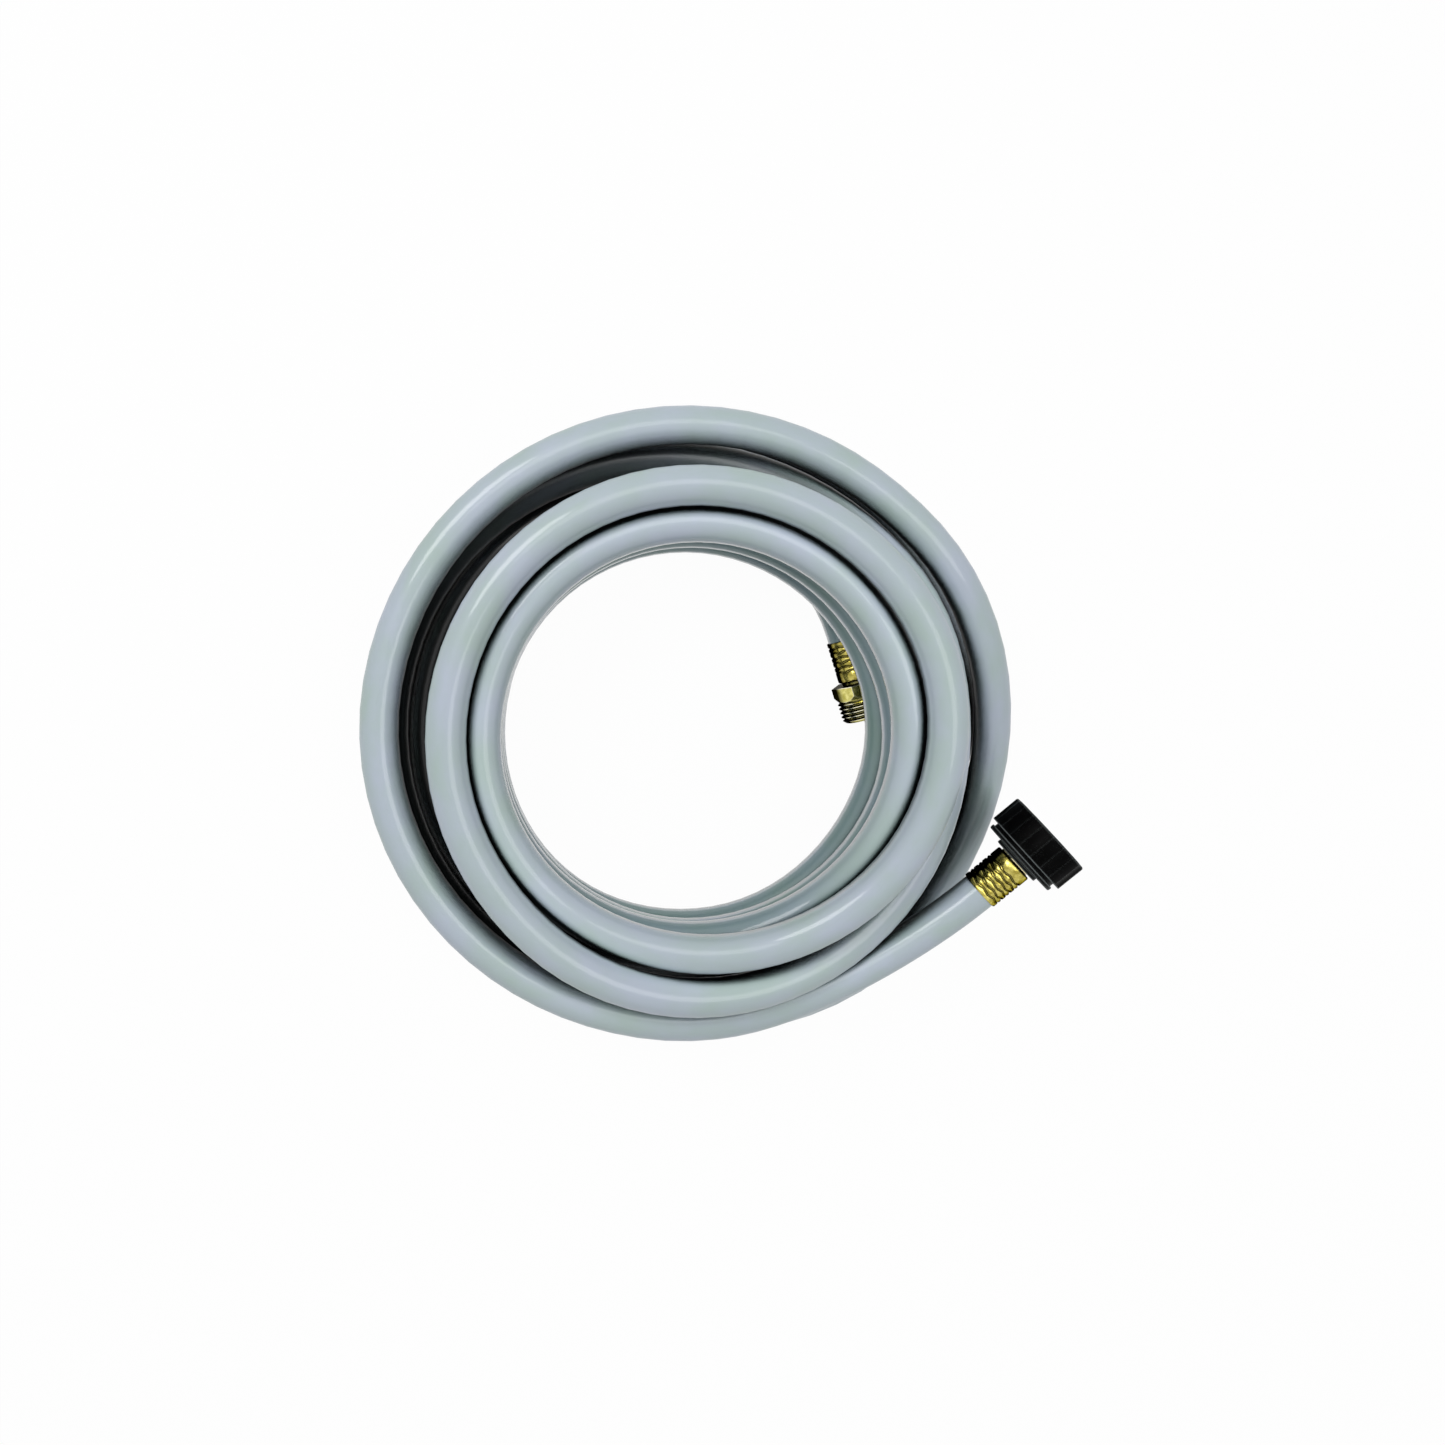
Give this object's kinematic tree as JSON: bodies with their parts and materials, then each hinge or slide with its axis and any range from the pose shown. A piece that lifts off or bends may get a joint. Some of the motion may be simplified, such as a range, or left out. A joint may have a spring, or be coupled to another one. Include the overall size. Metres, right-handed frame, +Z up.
{
  "type": "coiled rinse hose",
  "caption": "Coiled smooth grey hose with crimped brass ferrules, a black swivel nut at one end and a hexagonal threaded coupling at the other.",
  "frame": {"origin": "bottom centre of the part's box, on the surface that the pile of turns lies on", "axes": "+Z up, +X towards the side where the swivel nut stands out, +Y away from the front of the pile"},
  "size_m": [0.3462, 0.3164, 0.0962],
  "materials": {
    "hose_vinyl": "satin",
    "pressed_brass": "polished",
    "turned_brass": "machined",
    "black_plastic": "satin",
    "black_rubber": "matt"
  },
  "bodies": {
    "hose": {"hose_coil": "hose_vinyl", "swivel_lead": "hose_vinyl", "coupling_lead": "hose_vinyl", "female_ferrule": "pressed_brass", "female_stem": "turned_brass", "retaining_ring": "black_plastic", "male_ferrule": "pressed_brass", "male_coupling": "turned_brass"},
    "swivel_nut": {"swivel_nut": "black_plastic", "hose_washer": "black_rubber"}
  },
  "joints": [
    {"name": "nut_spin", "type": "hinge", "parent": "hose", "child": "swivel_nut", "pos_m": [0.15768, -0.0456, 0.06176], "axis": [0.7168, 0.6731, 0.1822], "continuous": true}
  ]
}
